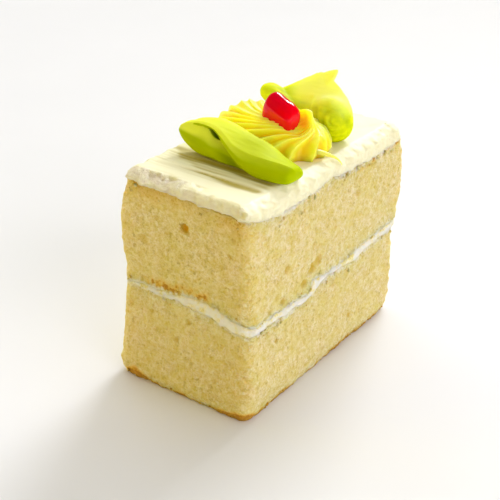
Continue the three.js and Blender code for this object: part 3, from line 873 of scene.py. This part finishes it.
def flower_grid():
    """Along each bearing from the peak the surface runs over an oval dome to its rim. A shoulder lifts its
    left, and the peak falls off slowly behind the jelly and steeply on its other sides. Every ridge lifts the
    surface away from a core point under the dome, by a narrow crest and a round groove in proportion to the
    ridges' pitch. The second grid is painted shade: how deep each point lies in a groove, in the hollow and
    in the cleft beside the jelly, and how near the foot."""
    ridges = len(RIDGE_BEARINGS) - 1
    phase = np.arange(ridges * RIDGE_POINTS) / RIDGE_POINTS
    rim_bearing = np.radians(np.interp(phase, np.arange(ridges + 1), RIDGE_BEARINGS))
    gap = np.radians(np.diff(RIDGE_BEARINGS))
    at_crest = np.append((gap + np.roll(gap, 1)) / 2, (gap[0] + gap[-1]) / 2)
    halves = np.arange(2 * ridges + 1) / 2
    gap = np.interp(phase, halves, np.insert(at_crest, np.arange(1, ridges + 1), gap))
    share = close_at_ends(0.012, 1, FLOWER_ROWS)[:, None]
    bearing = rim_bearing + RIDGE_TWIST * (1 - share)
    way = np.stack([np.cos(bearing), np.sin(bearing)], axis=-1)
    step, start = way / FLOWER_HALF, (PEAK_PLACE - FLOWER_CENTRE) / FLOWER_HALF
    a, b, c = (step**2).sum(-1), (step * start).sum(-1), (start**2).sum() - 1
    out = share * (np.sqrt(b * b - a * c) - b) / a
    flat = PEAK_PLACE + out[..., None] * way
    reach = np.linalg.norm((flat - FLOWER_CENTRE) / FLOWER_HALF, axis=-1)
    inside = np.maximum(0, 1 - reach**FLOWER_ROUNDNESS)
    behind, before, aside = PEAK_REACH
    along = (flat - PEAK_PLACE) @ PEAK_WAY
    across = (flat - PEAK_PLACE) @ (PEAK_WAY[::-1] * (1, -1))
    fall = np.where(along < 0, (along / behind) ** 4, along / before) + np.abs(across) / aside
    hollow = mound(flat, HOLLOW_PLACE, HOLLOW_HALF)
    rise = FLOWER_HEIGHT * inside ** (1 / FLOWER_ROUNDNESS) - HOLLOW_DEPTH * hollow
    shoulder = SHOULDER_HEIGHT * mound(flat, SHOULDER_PLACE, SHOULDER_HALF)
    rise = rise + (PEAK_HEIGHT * np.exp(-fall) + shoulder) * inside
    arm = lifted(flat, rise) - FLOWER_CORE
    turned = np.angle(np.exp(1j * (rim_bearing - DEEP_BEARING)))
    strength = 0.4 + 0.6 * bell(turned, DEEP_SPREAD)
    strength = strength * (1 + 0.5 * lumps(np.stack([phase, 0 * phase, 0 * phase], axis=-1), 1.3, 72))
    depth = np.minimum(RIDGE_DEPTH_MAX, RIDGE_DEPTH_TO_PITCH * out * gap) * strength
    crest = 1 - 2 * np.sqrt(np.sin(phase * np.pi) ** 2 + 0.01)
    length = np.linalg.norm(arm, axis=-1)
    lengthened = length + depth * crest + layered(arm, (0.12, 2.5, 70), (0.06, 0.9, 71))
    points = FLOWER_CORE + arm * (lengthened / length)[..., None]
    points[..., 2] = np.maximum(0.3, points[..., 2])
    points[-1, :, 2] = 0
    tuck = FLOWER_TUCK * (1 - smooth_step(points[..., 2], 0, FLOWER_TUCK_HEIGHT))
    points[..., :2] += (FLOWER_CENTRE - points[..., :2]) * tuck[..., None]
    points[..., 2] += SEAT
    # Painted shade: deeper in the grooves and the hollow, deepest in the cleft beside the jelly, and deeper
    # towards the foot
    groove = np.broadcast_to((1 - crest) / 2, depth.shape) * smooth_step(depth, 0.05, 0.6)
    groove = groove + 0.2 * hollow + 2 * mound(flat, SHADED_CLEFT_PLACE, SHADED_CLEFT_HALF)
    groove = groove + 0.3 * (1 - smooth_step(rise, 2, 7))
    middle = np.array([*FLOWER_CENTRE, SEAT])
    under = np.stack([points[-1] + (middle - points[-1]) * part for part in (0.3, 0.7)])
    groove = np.concatenate([groove, groove[-1:], groove[-1:]])
    return np.concatenate([points, under])[::-1], groove[::-1]


def flower_finish():
    """Yellow buttercream: lemon and satin, with fine drag marks, and painted shade by the mark called groove:
    golden in the grooves and amber where the shade is deepest."""
    finish = Finish("yellow_buttercream")
    fine = finish.grain(0.7, 3, 0.6)
    depth = finish.plus(finish.mark("groove"), finish.times(fine, 0.2))
    yellow = finish.blend(finish.share(depth, 0.15, 0.85), LEMON, GROOVE_SHADE_GOLD)
    return finish.soft(
        finish.blend(finish.share(depth, 0.9, 1.8), yellow, DEEP_SHADE_AMBER),
        finish.bump(fine, 0.1, 0.5),
        roughness=0.4,
        specular=0.5,
        soak=(0.85, (1.0, 0.75, 0.12), 7),
    )


flower_points, flower_groove_shade = flower_grid()
YELLOW = flower_finish()
place_piece(closed_mesh("flower_swirl", flower_points, groove=flower_groove_shade), YELLOW, "flower", "flower")

TAIL_ROUTE = [(17.5, -3.2, 68.6), (20.3, -1.2, 67.7), (22.4, 0.6, 66.5), (23.4, 1.6, 65.2), (23.6, 2.2, 64)]
TAIL_THICKNESS = [1.0, 0.62, 0.32, 0.2, 0.14]
TAIL_ROWS = 40
TAIL_AROUND = 14


def through(places, points, at):
    """Points on a smooth curve through the points given at rising places: cubic pieces whose slope at each
    point is that of the parabola through it and its neighbours, or at an end that of the line to the next."""
    places, points = np.asarray(places, float), np.asarray(points, float)
    slope = np.gradient(points, places, axis=0)
    before = np.clip(np.searchsorted(places, at, side="right") - 1, 0, len(places) - 2)
    span = places[before + 1] - places[before]
    share = ((at - places[before]) / span).reshape((-1,) + (1,) * (points.ndim - 1))
    span = span.reshape(share.shape)
    start, end = points[before], points[before + 1]
    leave, arrive = slope[before] * span, slope[before + 1] * span
    square, cube = share**2, share**3
    return (
        start * (2 * cube - 3 * square + 1)
        + leave * (cube - 2 * square + share)
        + end * (3 * square - 2 * cube)
        + arrive * (cube - square)
    )


def drawn_in(share, bluntness):
    """How full a lobe is along its way: the square root of 1 - |2t - 1|^bluntness, which closes both ends."""
    return np.sqrt(1 - np.abs(2 * share - 1) ** bluntness)


def round_string(route, thickness, rows, around):
    """A string along a smooth curve: circles square to the curve whose radius follows the thickness and draws
    in at both ends."""
    t = close_at_ends(0.02, 0.98, rows)
    middle = through(np.linspace(0, 1, len(route)), route, t)
    radius = np.interp(t, np.linspace(0, 1, len(thickness)), thickness) * drawn_in(t, 6)
    ahead = unit(np.gradient(middle, axis=0))
    side = unit(np.cross(ahead, (0, 0, 1)))
    rise = np.cross(side, ahead)
    turn = full_turn(around)
    ring = np.cos(turn)[None, :, None] * side[:, None] - np.sin(turn)[None, :, None] * rise[:, None]
    return middle[:, None] + radius[:, None, None] * ring


tail_points = round_string(TAIL_ROUTE, TAIL_THICKNESS, TAIL_ROWS, TAIL_AROUND)
tail_groove_shade = np.zeros(tail_points.shape[:2])
place_piece(closed_mesh("flower_tail", tail_points, groove=tail_groove_shade), YELLOW, "flower")

# Front leaf: lime green buttercream drawn out with a leaf nozzle. The cupped lobe stands off the icing at its
# left, and the lobe that folds over it leaves a small pocket and comes down to the icing at the right.
VOXEL = 0.17
LOBE_ROWS = 110
LOBE_AROUND = 72
# Sections at places along X, each as (Y, Z) of the rim, front, foot, back foot, back and top
CUPPED_LOBE = [
    (-17.3, (-18.2, 73), (-19.2, 71.6), (-18.6, 70.3), (-17.3, 70.3), (-16.5, 71.8), (-17.2, 72.4)),
    (-14.5, (-18.2, 74.2), (-20.1, 71.7), (-19.5, 69), (-17, 68.7), (-14.8, 73), (-16.6, 74.2)),
    (-10, (-18.4, 74.8), (-21, 71.4), (-20.4, 67.4), (-15.6, 66.7), (-13, 73.8), (-16, 74.7)),
    (-8, (-18.8, 75), (-21.3, 71), (-20.6, 67), (-15.6, 66.4), (-12.9, 73.6), (-16, 74.5)),
    (-6.2, (-19, 74.5), (-21.4, 70.6), (-20.7, 66.9), (-15.6, 66.3), (-12.8, 73.5), (-16.1, 73.4)),
    (-4, (-19.4, 72.8), (-21.5, 70.1), (-20.8, 66.8), (-15.6, 66.2), (-12.9, 73), (-16.2, 70.8)),
    (0, (-19.6, 72.2), (-21.3, 69.6), (-20.7, 66.6), (-16.4, 66.1), (-13.6, 71.4), (-16.4, 70.6)),
    (6, (-19.4, 70.4), (-20.9, 68.6), (-20.5, 66.3), (-18.4, 66), (-16.6, 67.8), (-17.2, 69.8)),
    (10, (-19.2, 68.6), (-20, 67.6), (-19.8, 66.2), (-18.4, 66), (-17, 67), (-17.4, 68.2)),
]
FOLDED_LOBE = [
    (-13.4, (-17.6, 74.5), (-18.2, 74.1), (-17.6, 73.6), (-14.5, 73.1), (-13.2, 73.6), (-14.6, 74.5)),
    (-9, (-18.2, 75.6), (-19, 75.1), (-18.2, 74.5), (-14, 73.2), (-11.6, 73.6), (-14.2, 75.5)),
    (-4, (-18.5, 75.5), (-19.5, 74.8), (-18.6, 73.9), (-14, 72), (-10.8, 73), (-14, 76)),
    (0.5, (-20.2, 74.6), (-21.4, 73.5), (-20.6, 72), (-14.5, 69.5), (-11, 71.5), (-14.4, 75.4)),
    (4.4, (-21.6, 73.2), (-22.9, 72), (-22.2, 70.4), (-15, 67.5), (-11.5, 70.5), (-15, 74.6)),
    (7.2, (-21.9, 72.4), (-23.5, 70.6), (-22.6, 68.4), (-15, 66.3), (-12, 69.5), (-15, 74)),
    (11, (-21.7, 71.9), (-23.4, 69.3), (-22.2, 66.3), (-15, 66), (-12.2, 69), (-15, 73.2)),
    (16, (-21.1, 71.5), (-23.1, 68.9), (-22.3, 66.2), (-14.6, 66), (-12.6, 68), (-15.4, 71)),
    (20.5, (-20.2, 71), (-22.3, 68.8), (-21.8, 66.2), (-15, 66), (-13.6, 67.4), (-15.8, 69.8)),
    (22.7, (-19.8, 70.6), (-21.7, 68.6), (-21.3, 66.3), (-15.6, 66), (-14.4, 67.2), (-16, 69.3)),
]
# The fold's lower edge: its height at X = 0, and how far it comes down for every millimetre along X
FOLD_HEIGHT = 73.1
FOLD_SLOPE = 1.06
DRAG_SQUEEZE = (0.12, 1, 1)
# Painted light and shade on the front leaf: deep green in the crease under the fold, and pale lime on its lit
# upper side
CREASE_SHADE_GREEN = colour(138, 158, 0)
LEAF_GREEN = colour(163, 183, 0)
LIME = colour(179, 195, 0)
TOP_LIT_LIME = colour(247, 252, 84)


def carried(sections, bluntness=12):
    """A lobe whose outline at each place along X is a smooth curve through that section's points, from its
    rim round to its rim again, which leaves a crease there. It runs smoothly from section to section, and
    both ends draw in to a point."""
    at = np.array([section[0] for section in sections])
    points = np.array([[*section[1:], section[1]] for section in sections])
    t = close_at_ends(0.01, 0.99, LOBE_ROWS)
    x = at[0] + t * (at[-1] - at[0])
    rows = np.moveaxis(through(at, points, x), 1, 0)
    turn = np.arange(LOBE_AROUND) / LOBE_AROUND * (len(rows) - 1)
    rings = np.moveaxis(through(np.arange(len(rows)), rows, turn), 0, 1)
    middle = rings.mean(axis=1, keepdims=True)
    rings = middle + (rings - middle) * drawn_in(t, bluntness)[:, None, None]
    return np.concatenate([np.broadcast_to(x[:, None, None], rings.shape[:2] + (1,)), rings], axis=-1)


def melted_together(name, grids, smoothing):
    """One skin round several closed lobes that lie in each other: their joined meshes are remade on a fine
    lattice and smoothed a few times, so that soft cream runs together where they meet."""
    parts = [closed_mesh(name, grid) for grid in grids]
    lobes = [in_scene(name, part) for part in parts]
    joined = lobes[0]
    with bpy.context.temp_override(active_object=joined, selected_editable_objects=lobes):
        bpy.ops.object.join()
    remade = joined.modifiers.new("remade", "REMESH")
    remade.mode = "VOXEL"
    remade.voxel_size = VOXEL * MM
    smoothed = joined.modifiers.new("smoothed", "SMOOTH")
    smoothed.iterations = smoothing
    mesh = bpy.data.meshes.new_from_object(joined.evaluated_get(bpy.context.evaluated_depsgraph_get()))
    bpy.data.objects.remove(joined)
    for part in parts:
        bpy.data.meshes.remove(part)
    mesh.name = name
    mesh.shade_smooth()
    return mesh


def raised(mesh, height, light_and_shade):
    """Moves a mesh's points along their normals by a height in millimetres worked out from their places, and
    keeps a mark of painted light and shade, worked out from their places and normals."""
    places, normals = np.empty((2, len(mesh.vertices) * 3))
    mesh.vertices.foreach_get("co", places)
    mesh.vertex_normals.foreach_get("vector", normals)
    places, normals = places.reshape(-1, 3) / MM, normals.reshape(-1, 3)
    painted_light = light_and_shade(places, normals)
    places = places + normals * height(places)[:, None]
    mesh.vertices.foreach_set("co", (places * MM).ravel())
    mesh.attributes.new("painted_light", "FLOAT", "POINT").data.foreach_set("value", painted_light)
    mesh.update()
    return mesh


def leaf_finish(name, green, pale, glow):
    """Lime buttercream: deeper in faint streaks, with painted light and shade by its mark: pale where the
    upper side is lit, and deep green where the mark is below zero, in the shade of a crease. It is matte, and
    light soaks through it over the distance called glow, in millimetres."""
    finish = Finish(name)
    drawn = finish.step("Mapping", "Vector", {"Vector": finish.place, "Scale": (0.3, 1, 1)})
    streak = finish.share(finish.grain(2.2, 3, 0.6, drawn), 0.3, 0.7)
    painted_light = finish.mark("painted_light")
    cream = finish.blend(finish.times(streak, 0.7), green, LEAF_GREEN)
    # Painted shade where the mark is below zero, and painted light where it is above
    cream = finish.blend(finish.share(painted_light, 0, -1), cream, CREASE_SHADE_GREEN)
    return finish.soft(
        finish.blend(finish.share(painted_light, 0, 1), cream, pale),
        finish.bump(streak, 0.05, 0.4),
        roughness=0.5,
        specular=0.02,
        soak=(0.7, (0.9, 1.0, 0.1), glow),
    )


def drag_marks(places):
    """Fine streaks along the way the cream was drawn, with soft dents."""
    return 0.04 * lumps(places * DRAG_SQUEEZE, 0.8, 80) + 0.1 * lumps(places, 3.5, 81)


def folded_light_and_shade(places, normals):
    """Painted light and shade: light on the upper side of the fold, most of all at its left, and shade on the
    front of the cupped lobe, next to the slanting edge where the fold comes down over it."""
    x, y, z = places.T
    left = 0.3 + 0.4 * smooth_step(-x, -10, 4)
    painted_light = left * smooth_step(normals[:, 2], 0.35, 0.65) * smooth_step(z, 69, 73)
    below_fold = FOLD_HEIGHT - FOLD_SLOPE * x - z
    crease_shade = smooth_step(below_fold, -0.3, 0.8) * (1 - smooth_step(below_fold, 1.5, 7))
    crease_shade = crease_shade * smooth_step(-y, 16, 18) * (1 - smooth_step(normals[:, 2], 0.1, 0.4))
    return painted_light - crease_shade


front_lobes = [carried(CUPPED_LOBE), carried(FOLDED_LOBE, bluntness=40)]
front_leaf = melted_together("leaf_front_cream", front_lobes, smoothing=2)
front_leaf = raised(front_leaf, drag_marks, folded_light_and_shade)
place_piece(front_leaf, leaf_finish("folded_leaf_cream", LIME, TOP_LIT_LIME, glow=1), "leaf", "leaf_front")

# Rear leaf: the same green cream, piped as a broad sheet that stands up behind the flower. Its right end
# curls over into a bulb, its left end is rolled, and a tip was flicked up where the nozzle came away.
LOBE_SQUARENESS = 2.5
# Sections at places along X, each as (Y, Z) of the rim, the sheet's front, the fold, the bulb's front and
# foot, the back foot, the back and the top
CURLED_SHEET = [
    (-9.4, (14, 75), (12.8, 74), (12, 72.6), (11.4, 71),
     (11.8, 69.4), (13.4, 68.8), (14.8, 71), (14.9, 73.8)),
    (-4, (15.2, 77.6), (13, 76), (11.6, 74), (10.6, 71.5),
     (11, 68.6), (13.4, 67.2), (15.6, 70.5), (16, 75.5)),
    (2, (16.8, 81.2), (14.2, 78.6), (12, 75.4), (10.4, 72),
     (10.6, 68), (13.6, 66.4), (16.4, 70.5), (17.4, 77.5)),
    (7, (17.4, 83.2), (14.6, 79.8), (11.6, 76.4), (9, 72.6),
     (9.2, 67.6), (13.6, 66.2), (16.8, 70.5), (18, 78.5)),
    (11, (17.2, 81.2), (14, 78.8), (10.4, 77), (7.4, 72.6),
     (8.2, 67), (13.6, 66.2), (17, 70), (17.8, 77)),
    (15, (15.6, 79.4), (12.8, 78.4), (9.6, 77.4), (6.9, 72.6),
     (8, 67), (13.6, 66.2), (17, 70), (17, 76)),
    (18, (14.2, 77.4), (12.2, 76.9), (10, 75.9), (8, 72.3),
     (8.8, 67.8), (13.4, 66.6), (16, 69.6), (15.8, 74.6)),
    (20.3, (12.8, 74.2), (11.8, 73.8), (10.8, 73.2), (10.2, 71.6),
     (10.6, 69.6), (12.6, 68.8), (14, 70.2), (13.8, 72.8)),
]
# Lobes as stations of place, half depth, half height and backward lean in degrees
ROLL = [((-11.2, 13, 76.2), 2.8, 2.6, 0), ((-5, 12.6, 74), 3, 3, 0), ((2, 11.6, 70.8), 3, 3.2, 0)]
TIP = [((2.6, 15.4, 76.4), 1.6, 4, 30), ((8, 17, 81.2), 1.2, 2.4, 30), ((11.8, 17.3, 84.8), 0.5, 0.5, 30)]
CURL_CENTRE = (17.0, 8.0, 73.6)
CURL_WAY = (0.8, 0.6, 0)
# The curl's lip and the hollow under it, as (height, radius, half width)
CURL_LIP = [(0.7, 4.6, 0.8), (-0.6, 3.2, 0.9)]
CURL_LIP_BEARING = np.radians(75)
CURL_RING_HEIGHT = 0.25
CURL_RING_PITCH = 1.8
CURL_RING_BEARING = np.radians(215)
# Painted light: the same green cream as the front leaf, painted brighter for the backlit sheet, and paler
# where it is most lit
BACKLIT_LIME = colour(222, 228, 4)
BACKLIT_PALE_LIME = colour(244, 255, 132)


def bent(value, squareness):
    """A cosine or sine bent towards the sides of a square: its size to the power of 2 / squareness."""
    return np.sign(value) * np.abs(value) ** (2 / squareness)


def lobe(stations, taper=0.0):
    """A piped lobe: a squarish oval, leaning back, carried along a smooth curve through the stations. The
    oval's depth falls towards its top by the taper, and both ends draw in."""
    t = close_at_ends(0.01, 0.99, LOBE_ROWS)
    places = np.linspace(0, 1, len(stations))
    spine = through(places, [station[0] for station in stations], t)
    depth, height, lean = through(places, [station[1:] for station in stations], t).T[..., None]
    full = drawn_in(t, 6)[:, None]
    ahead = unit(np.gradient(spine, axis=0))
    lean = np.radians(lean)
    back = np.concatenate([0 * lean, np.cos(lean), -np.sin(lean)], axis=1)
    back = unit(back - ahead * (back * ahead).sum(axis=1, keepdims=True))
    rise = np.cross(ahead, back)
    turn = full_turn(LOBE_AROUND)
    up = bent(np.sin(turn), LOBE_SQUARENESS)
    deep = bent(np.cos(turn), LOBE_SQUARENESS) * depth * full * (1 - taper * (1 + up) / 2)
    return spine[:, None] + deep[..., None] * back[:, None] + (up * height * full)[..., None] * rise[:, None]


def curl_marks(places):
    """Drag marks, a raised lip over the curled end with a hollow under it, and rings below and left of its
    middle."""
    aside = (places - CURL_CENTRE) @ CURL_WAY
    above = places[:, 2] - CURL_CENTRE[2]
    away, wound = np.hypot(aside, above), np.arctan2(above, aside)
    near = 1 - smooth_step(places[:, 1], 11, 14)
    lip = sum(height * bell(away - radius, width) for height, radius, width in CURL_LIP)
    lip = lip * smooth_step(np.cos(wound - CURL_LIP_BEARING), -0.1, 0.6)
    rings = smooth_step(away, 0.5, 1.5) * (1 - smooth_step(away, 6, 8))
    rings = rings * smooth_step(np.cos(wound - CURL_RING_BEARING), -0.3, 0.6)
    rings = CURL_RING_HEIGHT * rings * np.sin(away * 2 * np.pi / CURL_RING_PITCH)
    return drag_marks(places) + near * (lip + rings)


def upright_light_and_shade(places, normals):
    """Painted light: pale towards the sheet's backlit upper edge, a little paler higher up, and hardly any in
    the roll and the bulb, whichever way they face.
    """
    x, y, z = places.T
    sheet = smooth_step(z, 73, 78) * smooth_step(x, -4, 2) * smooth_step(y, 8, 12)
    return 0.08 * smooth_step(z, 68, 76) + 0.85 * sheet


rear_lobes = [carried(CURLED_SHEET), lobe(ROLL), lobe(TIP, taper=0.5)]
rear_leaf = melted_together("leaf_back_cream", rear_lobes, smoothing=6)
rear_leaf = raised(rear_leaf, curl_marks, upright_light_and_shade)
place_piece(rear_leaf, leaf_finish("upright_leaf_cream", BACKLIT_LIME, BACKLIT_PALE_LIME, glow=7), "leaf", "leaf_back")

# Jelly: a piece of clear red fruit jelly, cut as a small block that narrows to a rounded ridge, and pressed
# into the top of the flower, where the cream's ridges hold its foot.
JELLY_HALF = np.array([5.8, 3.4])
JELLY_HEIGHT = 7.3
# Squareness in plan, from the near side across and up, and from its ends
JELLY_PLAN = 3.6
JELLY_ACROSS = 5
JELLY_UP = 2.5
JELLY_ENDS = 2.2
JELLY_PLACE = np.array([5.2, -1.2, 73.5])
JELLY_LEAN = np.radians(11)
JELLY_TURN = np.radians(-12)
JELLY_SLOPE = 0.1
JELLY_ROWS = 48
JELLY_AROUND = 96
# Way along which painted light on the jelly grows, from its shaded crimson to its lit red
JELLY_LIT_WAY = (0.6, 0, -0.8)
JELLY_LIT_RED = colour(255, 0, 24)
JELLY_SHADED_CRIMSON = colour(222, 0, 44)


def jelly_grid():
    """The upper half of a ball over a flat foot, leaning to the right: squarish in plan and from the near
    side, oval from its ends, and lower towards its right end."""
    climb = np.linspace(0, 0.98, JELLY_ROWS)[:, None] * np.pi / 2
    turn = full_turn(JELLY_AROUND)
    x = JELLY_HALF[0] * bent(np.cos(climb), JELLY_ACROSS) * bent(np.cos(turn), JELLY_PLAN)
    y = JELLY_HALF[1] * bent(np.cos(climb), JELLY_ENDS) * bent(np.sin(turn), JELLY_PLAN)
    z = JELLY_HEIGHT * bent(np.sin(climb), JELLY_UP) + 0 * turn
    points = np.stack([x, y, z * (1 - JELLY_SLOPE * x / JELLY_HALF[0])], axis=-1)
    points = points * (1 + 0.02 * lumps(points, 3, 90)[..., None])
    cosine, sine = np.cos(JELLY_LEAN), np.sin(JELLY_LEAN)
    lean = np.array([[cosine, 0, -sine], [0, 1, 0], [sine, 0, cosine]])
    cosine, sine = np.cos(JELLY_TURN), np.sin(JELLY_TURN)
    turned = np.array([[cosine, sine, 0], [-sine, cosine, 0], [0, 0, 1]])
    return points @ lean @ turned + JELLY_PLACE


def jelly_finish():
    """Clear red jelly with a wet gloss, with painted shade in crimson at its upper left, and painted light in
    bright red at its lower right, where light comes through."""
    finish = Finish("red_jelly")
    cloud = finish.times(finish.grain(3, 2, 0.5), 3 * MM)
    along = finish.step("VectorMath", "Value", {0: finish.place, 1: JELLY_LIT_WAY}, operation="DOT_PRODUCT")
    lit = JELLY_PLACE @ JELLY_LIT_WAY * MM
    share = finish.share(finish.plus(along, cloud), lit - 4.5 * MM, lit + 2 * MM)
    return finish.shaded({
        "Base Color": finish.blend(share, JELLY_SHADED_CRIMSON, JELLY_LIT_RED),
        "Roughness": 0.06,
        "IOR": 1.42,
        "Specular IOR Level": 0.45,
        "Transmission Weight": 0.12,
        "Subsurface Weight": 0.8,
        "Subsurface Radius": (1.0, 0.06, 0.06),
        "Subsurface Scale": 3 * MM,
    })


place_piece(closed_mesh("jelly_piece", jelly_grid()), jelly_finish(), "jelly", "jelly")

# Floor, light and camera: a plain pale surface with a pale backdrop far round it, window light from behind,
# softer light from both sides, warm light bounced back from the front, and the view.
FLOOR_HALF = 30000
BACKDROP_RADIUS = 4000
BACKDROP_HEIGHT = 3000
BACKDROP_AROUND = 96
COOL_WHITE = (0.92, 0.95, 1.0)
# Distant lights as name, azimuth, elevation, strength, tint and spread
SUNS = [
    ("window", 185, 58, 1.38, COOL_WHITE, 85),
    ("key", 190, 34, 2.2, COOL_WHITE, 26),
    ("right", 87, 17, 2.55, (0.95, 0.94, 1.0), 60),
    ("left", 250, 23, 1.3, COOL_WHITE, 60),
    ("bounce", 0, 18, 0.5, (1.0, 0.82, 0.25), 50),
    ("left_bounce", 305, 15, 1.15, (1.0, 0.84, 0.2), 40),
]
PANES_SIZE = (0.6, 0.22)
PANES_POWER = 22
PANES_AZIMUTH = 188
PANES_ELEVATION = 42
SKY_TINT = (1.0, 0.9, 0.6, 1)
SKY_STRENGTH = 0.05
CAMERA_PLACE = np.array([146.42, -203.22, 168.28])
CAMERA_AZIMUTH = np.radians(36.92)
CAMERA_ELEVATION = np.radians(28.78)
CAMERA_LENS = 68.03


def floor_finish():
    """A matte pale grey surface with the faintest clouding."""
    finish = Finish("pale_floor")
    cloud = finish.grain(60, 2, 0.5)
    return finish.shaded({
        "Base Color": finish.blend(cloud, colour(225, 224, 225), colour(228, 227, 228)),
        "Roughness": 0.6,
        "Specular IOR Level": 0.2,
    })


def backdrop_finish():
    """An evenly lit pale paper with the faintest clouding."""
    finish = Finish("pale_backdrop")
    cloud = finish.grain(900, 2, 0.5)
    return finish.shaded({
        "Base Color": (0, 0, 0, 1),
        "Specular IOR Level": 0,
        "Emission Color": finish.blend(cloud, colour(239, 238, 239), colour(241, 240, 241)),
        "Emission Strength": 1,
    })


def around_cake(name, points, faces, material):
    """An object of these points and faces that stands round the cake."""
    mesh = bpy.data.meshes.new(name)
    mesh.from_pydata(points * MM, [], faces)
    mesh.materials.append(material)
    return in_scene(name, mesh)


floor_corners = np.array([(-1, -1, 0), (1, -1, 0), (1, 1, 0), (-1, 1, 0)]) * FLOOR_HALF
floor = around_cake("floor", floor_corners, [(0, 1, 2, 3)], floor_finish())

# The backdrop is a round wall, which shows but throws no light or shadow on the cake
turn = full_turn(BACKDROP_AROUND)
wall_foot = np.stack([np.cos(turn), np.sin(turn), 0 * turn], axis=-1) * BACKDROP_RADIUS
wall_points = np.concatenate([wall_foot, wall_foot + (0, 0, BACKDROP_HEIGHT)])
number = np.arange(BACKDROP_AROUND)
after = np.roll(number, -1)
wall_faces = np.stack([number, number + BACKDROP_AROUND, after + BACKDROP_AROUND, after], axis=-1)
backdrop = around_cake("backdrop", wall_points, wall_faces, backdrop_finish())
backdrop.visible_diffuse = False
backdrop.visible_glossy = False
backdrop.visible_transmission = False
backdrop.visible_shadow = False


def aimed_light(name, lamp, azimuth, elevation):
    """A light that stands at an azimuth counted from the near end round to the long face, and at an
    elevation, both in degrees, and shines on the cake."""
    light = in_scene(name, lamp)
    light.rotation_euler = (np.radians(90 - elevation), 0, np.radians(azimuth))
    return light


for name, azimuth, elevation, strength, tint, spread in SUNS:
    sun = bpy.data.lights.new(name, "SUN")
    sun.energy = strength
    sun.color = tint
    sun.angle = np.radians(spread)
    aimed_light(name, sun, azimuth, elevation).visible_glossy = False

# The window's panes, which show only as they are mirrored in glossy pieces
panes = bpy.data.lights.new("panes", "AREA")
panes.shape = "RECTANGLE"
panes.size, panes.size_y = PANES_SIZE
panes.energy = PANES_POWER
mirrored = aimed_light("panes", panes, PANES_AZIMUTH, PANES_ELEVATION)
mirrored.location = JELLY_PLACE * MM + mirrored.rotation_euler.to_matrix().col[2]
mirrored.visible_diffuse = False
mirrored.visible_camera = False

world = bpy.data.worlds.new("studio")
bpy.context.scene.world = world
world.use_nodes = True
sky = world.node_tree.nodes["Background"].inputs
sky["Color"].default_value = SKY_TINT
sky["Strength"].default_value = SKY_STRENGTH

lens = bpy.data.cameras.new("camera")
lens.lens = CAMERA_LENS
lens.clip_start = 10 * MM
camera = in_scene("camera", lens)
camera.location = CAMERA_PLACE * MM
camera.rotation_euler = (np.pi / 2 - CAMERA_ELEVATION, 0, CAMERA_AZIMUTH)
bpy.context.scene.camera = camera
bpy.context.scene.view_settings.view_transform = "Standard"
